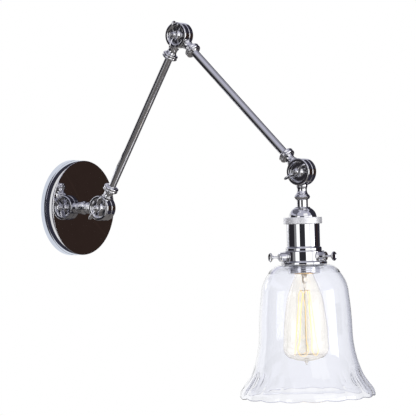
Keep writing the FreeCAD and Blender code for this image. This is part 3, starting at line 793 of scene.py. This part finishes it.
def clamp_ring():
    """The satin ring, turned all over, with rounded corners."""
    inside = BODY_R - SHELL_WALL - 1.0
    return turned("clamp ring", [
        (RING_START, 12.0),
        (RING_START, RING_R - 0.9),
        ((RING_START + 0.25, RING_R - 0.25), (RING_START + 0.9, RING_R)),
        (RING_END - 0.9, RING_R),
        ((RING_END - 0.25, RING_R - 0.25), (RING_END, RING_R - 0.9)),
        (RING_END, inside),
        (RING_START + 2.2, inside),
        (RING_START + 2.2, 12.0),
    ], turns=FINE_TURN_STEPS)


def socket_shell():
    """The polished barrel with its flared foot."""
    return turned("barrel", [
        (RING_END, BODY_R - SHELL_WALL),
        (RING_END, BODY_R),
        (BODY_END, BODY_R),
        ((BODY_END + 0.7, BODY_R + 1.0), (BODY_END + 2.4, FLARE_R)),
        (GALLERY_START - 0.8, FLARE_R),
        ((GALLERY_START - 0.2, FLARE_R - 0.2), (GALLERY_START, FLARE_R - 0.8)),
        (GALLERY_START, BODY_R - SHELL_WALL),
    ], turns=FINE_TURN_STEPS, step=5.0)


def gallery():
    """The shade holder: cup, rolled flange, and three bosses bored for the screws."""
    inner = GALLERY_R - SHELL_WALL
    cup = turned("gallery", [
        (GALLERY_START, SKIRT_R),
        (GALLERY_START, GALLERY_R - 0.9),
        ((GALLERY_START + 0.25, GALLERY_R - 0.25), (GALLERY_START + 0.9, GALLERY_R)),
        (GALLERY_END - 0.7, GALLERY_R),
        ((GALLERY_END - 0.2, GALLERY_R + 0.4), (GALLERY_END + 0.2, GALLERY_R + 1.4)),
        ((GALLERY_END + 0.5, FLANGE_R - 0.5), (GALLERY_END + 1.4, FLANGE_R)),
        (FLANGE_END - 0.9, FLANGE_R),
        ((FLANGE_END - 0.2, FLANGE_R - 0.3), (FLANGE_END, FLANGE_R - 1.1)),
        (FLANGE_END, inner),
        (GALLERY_START + SHELL_WALL, inner),
        (GALLERY_START + SHELL_WALL, SKIRT_R),
    ], turns=FINE_TURN_STEPS, step=5.0)
    for turn in THUMB_TURNS.values():
        boss = turned("boss", [
            (GALLERY_R - 0.8, 1.6),
            (GALLERY_R - 0.8, BOSS_R),
            (BOSS_OUT, BOSS_R),
            (BOSS_OUT, BOSS_R - 1.6),
            (BOSS_OUT + 1.2, BOSS_R - 1.6),
            (BOSS_OUT + 1.2, 1.6),
        ], soften=0.4, turns=COARSE_TURN_STEPS)
        cup = joined(cup, placed_boss(boss, turn), "UNION")
    return bevelled(cup, 0.2)


def placed_boss(mesh, turn):
    """Lays a mesh built on +Z out along its shade screw's line."""
    across(mesh, 1)
    mesh.transform(Matrix.Rotation(math.radians(turn), 4, "Z") @ Matrix.Translation((0, 0, THUMB_AXIS_S)))
    return mesh


def gallery_nut():
    """The skirt inside the shade, with a fine groove near its end."""
    return turned("gallery nut", [
        (GALLERY_START, 17.5),
        (GALLERY_START, SKIRT_R),
        (SKIRT_END - 2.4, SKIRT_R),
        (SKIRT_END - 2.1, SKIRT_R - 0.3),
        (SKIRT_END - 1.8, SKIRT_R),
        (SKIRT_END - 0.6, SKIRT_R),
        (SKIRT_END, SKIRT_R - 0.6),
        (SKIRT_END, 17.5),
    ], soften=0.15, turns=FINE_TURN_STEPS)


def threaded(pitch, depth, start, end, inner=0.0):
    """A shape that winds a rounded thread round the stretch between start and end, outside this radius."""
    def shape(s, r, angle):
        if r <= inner:
            return s, r
        full = eased(min(s - start, end - s), 0.0, 0.4 * pitch)
        wave = 0.5 + 0.5 * math.cos(math.tau * s / pitch - angle)
        return s, r - depth * full * (1 - wave)
    return shape


def shade_screw():
    """A thumb screw: threaded shank, neck, and a round head dished at its end."""
    tip = NECK_R + 0.35
    return turned("shade screw", [
        (tip, 0.0),
        (tip, 0.9),
        (tip + 0.6, 1.5),
        (THUMB_OUT - 4.6, 1.5),
        ((THUMB_OUT - 4.4, 2.0), (THUMB_OUT - 3.9, 2.2)),
        (THUMB_OUT - 1.7, 2.2),
        ((THUMB_OUT - 1.5, THUMB_HEAD_R - 0.9), (THUMB_OUT - 0.9, THUMB_HEAD_R - 0.1)),
        ((THUMB_OUT - 0.5, THUMB_HEAD_R), (THUMB_OUT - 0.1, THUMB_HEAD_R - 0.2)),
        ((THUMB_OUT + 0.3, THUMB_HEAD_R - 0.6), (THUMB_OUT + 0.1, THUMB_HEAD_R - 1.2)),
        ((THUMB_OUT - 0.5, 2.4), (THUMB_OUT - 0.7, 0.0)),
    ], soften=0.1, turns=48, longest=0.2, shape=threaded(0.8, 0.16, tip + 0.6, THUMB_OUT - 4.8))


def lamp_holder():
    on_head("stem_polished", head_stem(), "chrome", "head_stem")
    on_head("cap_polished", head_cap(), "chrome", "head_cap")
    on_head("ring_satin", clamp_ring(), "satin_metal", "clamp_ring")
    on_head("barrel_polished", socket_shell(), "chrome", "socket_shell")
    on_head("gallery_polished", gallery(), "chrome", "gallery")
    on_head("gallery_nut_polished", gallery_nut(), "chrome", "gallery_nut")
    screw = shade_screw()
    for letter, turn in THUMB_TURNS.items():
        name = "shade_screw_" + letter
        on_head(name + "_polished", placed_boss(screw.copy(), turn), "chrome", name, body=name)


# Glass


def fluted(s, r, angle):
    """Round lobes with a crease between each two, which grow towards the rim and scallop it."""
    hollow = 1 - abs(math.cos(FLUTES / 2 * angle))
    depth = 2.3 * eased(s, 229.0, 252.0) - 1.0 * eased(s, 254.0, RIM_S)
    notch = 1.5 * eased(s, 250.0, RIM_S)
    return s - notch * hollow, r - depth * hollow


def shade_glass():
    """The blown bell: neck, flat shoulder, long curve, and a fluted flare."""
    wall = GLASS_WALL
    lip = NECK_R - wall
    outline = [
        (NECK_TOP, NECK_R - 0.8),
        ((NECK_TOP + 0.2, NECK_R - 0.2), (NECK_TOP + 0.8, NECK_R)),
        (SHOULDER_S - 0.6, NECK_R),
        ((SHOULDER_S - 0.1, NECK_R + 0.5), (SHOULDER_S + 0.1, NECK_R + 1.6)),
        (SHOULDER_S + 0.3, 31.0),
        ((SHOULDER_S + 3.6, 38.0), (121.0, 43.4)),
        ((130.0, 48.8), (142.0, 52.2)),
        ((165.0, 54.6), (193.0, 55.9)),
        ((222.0, 60.2), (240.0, 66.4)),
        ((248.5, 71.4), (254.5, 76.0)),
        ((260.0, 79.6), (RIM_S - 1.2, RIM_R)),
        ((RIM_S, RIM_R - wall / 2), (RIM_S - 1.2, RIM_R - wall)),
        ((261.2, 77.3), (256.2, 74.0)),
        ((250.2, 69.5), (241.4, 64.1)),
        ((223.0, 57.6), (193.3, 55.9 - wall)),
        ((165.3, 52.0), (142.7, 49.7)),
        ((131.2, 46.4), (122.8, 41.5)),
        ((117.0, 36.6), (SHOULDER_S + wall + 0.3, 30.6)),
        (SHOULDER_S + wall, lip + 1.6),
        ((SHOULDER_S + wall - 0.4, lip + 0.5), (SHOULDER_S + wall - 1.4, lip)),
        (NECK_TOP + 0.8, lip),
        ((NECK_TOP + 0.2, lip + 0.2), (NECK_TOP, lip + 0.8)),
    ]
    mesh = turned("shade", outline, soften=0.0, turns=FLUTES * 12, step=2.6, shape=fluted, longest=3.2)
    on_head("bell_shade", mesh, "clear_glass", "shade_glass")


# Bulb


def bulb_outline(inset, start, tip):
    """The envelope's outline, drawn in by inset: narrow neck, slow swell, low shoulder, then the pip."""
    return [
        (start, BULB_NECK_R - inset),
        ((126.0, 12.2 - inset), (133.0, 15.4 - inset)),
        ((146.0, 20.0 - inset), (164.0, 23.4 - inset)),
        ((184.0, 26.0 - inset), (204.0, BULB_R - inset)),
        ((216.0 - 0.5 * inset, 25.8 - inset), (222.5 - inset, 19.2 - inset)),
        ((225.2 - inset, 11.0 - inset * 0.4), (226.0 - inset, 3.2)),
        ((tip - 3.1, 1.9), (tip - 2.0, 1.4)),
        ((tip - 0.5, 0.9), (tip, 0.0)),
    ]


def bulb_glass():
    """The clear envelope with its hollow, whose skirt is inside the cap."""
    swell = BULB_CAP_END + 2.5
    outer = [(BULB_CAP_END - 4.0, BULB_NECK_R)] + bulb_outline(0.0, swell, BULB_TIP_S)
    inner = [(BULB_CAP_END - 4.0, BULB_NECK_R - BULB_WALL)] + bulb_outline(BULB_WALL, swell, BULB_TIP_S - 3.0)
    build = bmesh.new()
    rings = [ring(build, s, r, TURN_STEPS) for s, r in reversed(trace(inner, 4.0))]
    rings += [ring(build, s, r, TURN_STEPS) for s, r in trace(outer, 4.0)]
    skin(build, rings, closed=False)
    on_head("bulb_envelope", to_mesh("bulb", build), "bulb_glass", "bulb_glass", body="bulb")


def bulb_cap():
    """The brass screw cap, with one continuous rolled thread."""
    start, end = BULB_CAP_START, BULB_CAP_END
    thread = threaded(THREAD_PITCH, 0.5, start + 1.2, start + 20.0, inner=BULB_NECK_R + 0.6)
    mesh = turned("bulb cap", [
        (start, 6.0),
        (start, 10.4),
        ((start + 0.4, 11.6), (start + 1.4, BULB_CAP_R - 0.1)),
        (start + 19.6, BULB_CAP_R - 0.1),
        (start + 20.4, BULB_CAP_R - 0.5),
        (end - 2.0, BULB_CAP_R - 0.5),
        (end, BULB_CAP_R - 0.9),
        (end, BULB_NECK_R + 0.02),
        (start + 1.4, BULB_NECK_R + 0.02),
        (start + 1.4, 6.0),
    ], soften=0.2, longest=0.45, shape=thread)
    on_head("bulb_cap_threaded", mesh, "brass", "bulb_cap", body="bulb")


def bulb_stem():
    """The glass mount: flared foot, pinched press, cane and button."""
    foot_r = BULB_NECK_R - BULB_WALL - 0.05
    mesh = turned("mount", [
        (BULB_CAP_END - 3.6, 0.0),
        (BULB_CAP_END - 3.6, foot_r),
        (BULB_CAP_END - 2.6, foot_r),
        ((122.4, 4.6), (129.0, 3.6)),
        ((131.6, 3.0), (133.0, 1.6)),
        (136.0, 1.2),
        ((137.6, 1.6), (MOUNT_END, 0.0)),
    ], turns=COARSE_TURN_STEPS, step=4.0, soften=0.2, shape=pressed)
    on_head("bulb_mount", mesh, "bulb_glass", "bulb_stem", body="bulb")


def pressed(s, r, angle):
    """Flattens the mount where its glass was pinched shut."""
    flat = 0.45 * eased(s, 122.0, 128.0) * (1 - eased(s, 130.5, 133.0))
    return s, r * (1 - flat * math.sin(angle) ** 2)


def wire(name, points, radius):
    """A round wire along a smooth curve through these points, as a mesh."""
    curve = bpy.data.curves.new(name, "CURVE")
    curve.dimensions = "3D"
    curve.bevel_depth = radius
    curve.bevel_resolution = 2
    curve.use_fill_caps = True
    spline = curve.splines.new("BEZIER")
    spline.bezier_points.add(len(points) - 1)
    for knot, point in zip(spline.bezier_points, points):
        knot.co = point
        knot.handle_left_type = knot.handle_right_type = "AUTO"
    spline.resolution_u = 4
    piece = bpy.data.objects.new(name, curve)
    bpy.context.scene.collection.objects.link(piece)
    mesh = bpy.data.meshes.new_from_object(piece.evaluated_get(bpy.context.evaluated_depsgraph_get()))
    bpy.data.objects.remove(piece)
    return mesh


def gathered(meshes):
    """Several meshes as one."""
    build = bmesh.new()
    for mesh in meshes:
        build.from_mesh(mesh)
    made = bpy.data.meshes.new(meshes[0].name)
    build.to_mesh(made)
    build.free()
    return made


def around(radius, turn, along):
    """A point at this distance from the axis, this far round it in turns."""
    return Vector((radius * math.cos(math.tau * turn), radius * math.sin(math.tau * turn), along))


def filament():
    """The cage: one fine wire that runs down and up between the hooks, bowed out and slack in places."""
    points = []
    for i in range(STRANDS):
        ends = [(FILAMENT_TOP_R - 0.2, FILAMENT_TOP + 0.3), (FILAMENT_R - 0.2, FILAMENT_LOW - 0.3)]
        if i % 2:
            ends.reverse()
        sag = 0.3 + 0.25 * math.sin(2.4 * i)
        for t in (0.0, 0.25, 0.5, 0.75, 1.0):
            (r0, s0), (r1, s1) = ends
            bow = sag * math.sin(math.pi * t)
            points.append(around(r0 + (r1 - r0) * t + bow, (i + 0.08 * bow) / STRANDS, s0 + (s1 - s0) * t))
    on_head("bulb_cage", wire("cage", points, 0.27), "filament", "bulb_filament", body="bulb")


def supports():
    """The post and its two rings of hooks, each curled round the filament's turn."""
    heights = (MOUNT_END - 0.1, 165.0, 195.0, FILAMENT_LOW + 0.5)
    wires = [wire("post", [Vector((0, 0, height)) for height in heights], 0.5)]
    rings = ((FILAMENT_TOP - 0.7, FILAMENT_TOP_R, 1.0), (FILAMENT_LOW + 0.6, FILAMENT_R, -1.0))
    for height, reach, lift in rings:
        for i in range(STRANDS):
            turn = i / STRANDS
            wires.append(wire("hook", [
                around(0.2, turn, height),
                around(0.5 * reach, turn, height),
                around(reach - 0.3, turn, height),
                around(reach, turn, height + 0.5 * lift),
                around(reach - 0.3, turn, height + 0.9 * lift),
            ], 0.2))
    on_head("bulb_hooks", gathered(wires), "support_wire", "bulb_supports", body="bulb")


# Stage


STUDIO_CENTRE = HEAD + Vector((0, 0, -0.08))
ROOM_R = 30.0
CARD_R = 20.0
FLOOR_Z = -1.2
FLOOR_R = 5.0
PATCH_STEP = 5.0  # degrees


def plain(name, colour, emission, emitted=(1, 1, 1)):
    """A flat finish for the stage."""
    material, principled, _, _ = shader(name, colour, 0.9)
    principled.inputs["Specular IOR Level"].default_value = 0.0
    principled.inputs["Emission Color"].default_value = (*emitted, 1)
    principled.inputs["Emission Strength"].default_value = emission
    return material


def room():
    """A white cyclorama all round, and a pale floor."""
    walls = patch("cyclorama", (-180, 180), (-90, 90), ROOM_R, plain("white cyclorama", (0.0, 0.0, 0.0), 1.0))
    walls.visible_glossy = False
    build = bmesh.new()
    skin(build, [ring(build, FLOOR_Z, r, TURN_STEPS) for r in (0.0, 2.0, 3.5, FLOOR_R)], closed=False)
    floor = new_object("floor", to_mesh("floor", build))
    floor.data.materials.append(plain("pale floor", (0.86, 0.86, 0.87), 0.0))
    floor.visible_glossy = False


def patch(name, azimuths, elevations, distance, material):
    """Part of a great sphere round the lamp. Azimuth 0 is the camera's side, and positive is to its right."""
    facing = math.radians(VIEW_AZIMUTH)
    back = Vector((math.sin(facing), -math.cos(facing), 0))
    right = Vector((math.cos(facing), math.sin(facing), 0))
    columns = []
    across_count = max(1, math.ceil((azimuths[1] - azimuths[0]) / PATCH_STEP))
    up_count = max(1, math.ceil((elevations[1] - elevations[0]) / PATCH_STEP))
    build = bmesh.new()
    for i in range(across_count + 1):
        turn = math.radians(azimuths[0] + (azimuths[1] - azimuths[0]) * i / across_count)
        column = []
        for j in range(up_count + 1):
            lift = math.radians(elevations[0] + (elevations[1] - elevations[0]) * j / up_count)
            level = back * math.cos(turn) + right * math.sin(turn)
            towards = level * math.cos(lift) + Vector((0, 0, math.sin(lift)))
            column.append(build.verts.new(STUDIO_CENTRE + distance * towards))
        columns.append(column)
    for one, other in zip(columns, columns[1:]):
        for j in range(up_count):
            build.faces.new((one[j], other[j], other[j + 1], one[j + 1]))
    panel = new_object(name, to_mesh(name, build))
    panel.data.materials.append(material)
    return panel


def only_reflected(panel, polish_sees=True, glass_sees=True):
    """Hides a panel from everything but reflections and clear glass, or from one of the two as well."""
    for kind in ("camera", "diffuse", "volume_scatter", "shadow"):
        setattr(panel, "visible_" + kind, False)
    panel.visible_glossy = polish_sees
    panel.visible_transmission = glass_sees


def card(name, azimuths, elevations, nearer, colour, strength=1.0, **seen):
    """A glowing panel that reflections and clear glass show. A nearer one covers the rest."""
    finish = plain(name, (0.0, 0.0, 0.0), strength, colour)
    only_reflected(patch(name, azimuths, elevations, CARD_R - nearer, finish), **seen)


def cards():
    """The studio that polish shows: bright panels between dark flags, a grey ceiling and a dark floor."""
    card("bright_wall", (-180, 180), (-90, 90), 0.0, (1.0, 1.0, 1.0))
    card("ceiling", (-180, 180), (17, 90), 0.4, (0.60, 0.60, 0.71))
    card("ceiling_bright", (5, 45), (22, 46), 0.6, (1.0, 1.0, 1.0), 1.3)
    card("ceiling_lamp", (-42, -30), (56, 68), 0.6, (1.0, 1.0, 1.0), 1.3)
    card("ceiling_dark", (-150, -58), (30, 66), 0.6, (0.16, 0.16, 0.20))
    card("ceiling_gap", (48, 170), (62, 80), 0.6, (0.30, 0.30, 0.35))
    card("ground", (-180, 180), (-90, -17), 0.4, (0.180, 0.170, 0.165), glass_sees=False)
    card("glass_ground", (-180, 180), (-90, -17), 0.4, (0.64, 0.66, 0.80), polish_sees=False)
    card("panel_left", (-49, -27), (-12, 17), 0.8, (1.0, 1.0, 1.0), 1.6)
    card("panel_right", (10, 80), (-12, 17), 0.8, (1.0, 1.0, 1.0), 1.6)
    card("window_right", (57, 82), (-12, 17), 0.9, (1.0, 1.0, 1.0), 3.0)
    card("grey_left", (-66, -49), (-8, 30), 1.3, (0.30, 0.30, 0.31))
    card("flag_left", (-117, -66), (-33, 18), 1.2, (0.030, 0.028, 0.034))
    card("flag_low", (-140, -42), (-32, -8), 1.1, (0.040, 0.038, 0.044), glass_sees=False)
    card("flag_middle", (-27, 10), (-26, 17), 1.2, (0.035, 0.035, 0.042))
    card("line_right", (43.5, 46.0), (-12, 17), 1.2, (0.45, 0.45, 0.50))
    card("flag_right", (80, 165), (-33, 54), 1.2, (0.036, 0.034, 0.050), glass_sees=False)
    card("flag_brown", (99, 114), (-14, 14), 1.6, (0.036, 0.022, 0.018), glass_sees=False)
    card("glass_right", (95, 165), (-30, 30), 1.2, (0.68, 0.69, 0.76), polish_sees=False)


def wall_rings():
    """The board behind the canopy, in flat rings that only its polished side shows."""
    edges = (CANOPY_R, 70.2, 79.5, 86.0, 92.0)
    colours = ((0.84, 0.90, 1.0), (0.04, 0.04, 0.06), (1.0, 1.0, 1.0), (0.16, 0.15, 0.18))
    behind_wall_plane = -0.3
    for start, end, colour in zip(edges, edges[1:], colours):
        build = bmesh.new()
        skin(build, [ring(build, behind_wall_plane, r, TURN_STEPS) for r in (start, end)], closed=False)
        mesh = to_mesh("wall ring", build)
        mesh.transform(Matrix.Scale(MM, 4))
        board = new_object(f"wall_ring_{start:.0f}", mesh)
        board.matrix_world = WALL_PLACE
        board.data.materials.append(plain("wall ring", (0.0, 0.0, 0.0), 1.0, colour))
        only_reflected(board, glass_sees=False)


def softbox(name, place, size, energy):
    lamp = bpy.data.lights.new(name, "AREA")
    lamp.shape = "RECTANGLE"
    lamp.size, lamp.size_y = size
    lamp.energy = energy
    light = bpy.data.objects.new(name, lamp)
    light.visible_glossy = light.visible_transmission = False
    light.location = place
    light.rotation_euler = (STUDIO_CENTRE - Vector(place)).to_track_quat("-Z", "Y").to_euler()
    bpy.context.scene.collection.objects.link(light)


def lights():
    softbox("key", (-2.6, -0.4, 1.8), (1.2, 1.6), 30.0)
    softbox("fill", (1.4, -3.0, 0.8), (1.0, 1.6), 14.0)
    world = bpy.data.worlds.new("white")
    world.use_nodes = True
    world.node_tree.nodes["Background"].inputs["Color"].default_value = (1, 1, 1, 1)
    bpy.context.scene.world = world


def camera():
    azimuth, elevation = math.radians(VIEW_AZIMUTH), math.radians(VIEW_ELEVATION)
    back = Vector((
        math.sin(azimuth) * math.cos(elevation),
        -math.cos(azimuth) * math.cos(elevation),
        math.sin(elevation),
    ))
    eye = bpy.data.objects.new("camera", bpy.data.cameras.new("camera"))
    eye.data.lens = VIEW_LENS
    eye.data.sensor_width = SENSOR
    eye.rotation_mode = "QUATERNION"
    rolled = Matrix.Rotation(math.radians(VIEW_ROLL), 3, "Z").to_quaternion()
    eye.rotation_quaternion = (-back).to_track_quat("-Z", "Y") @ rolled
    eye.location = VIEW_TARGET + VIEW_DISTANCE * back
    bpy.context.scene.collection.objects.link(eye)
    bpy.context.scene.camera = eye
    bpy.context.scene.view_settings.view_transform = "Standard"


paint_cad_nodes()
canopy()
knuckles()
arms()
lamp_holder()
shade_glass()
bulb_glass()
bulb_cap()
bulb_stem()
filament()
supports()
room()
cards()
wall_rings()
lights()
camera()
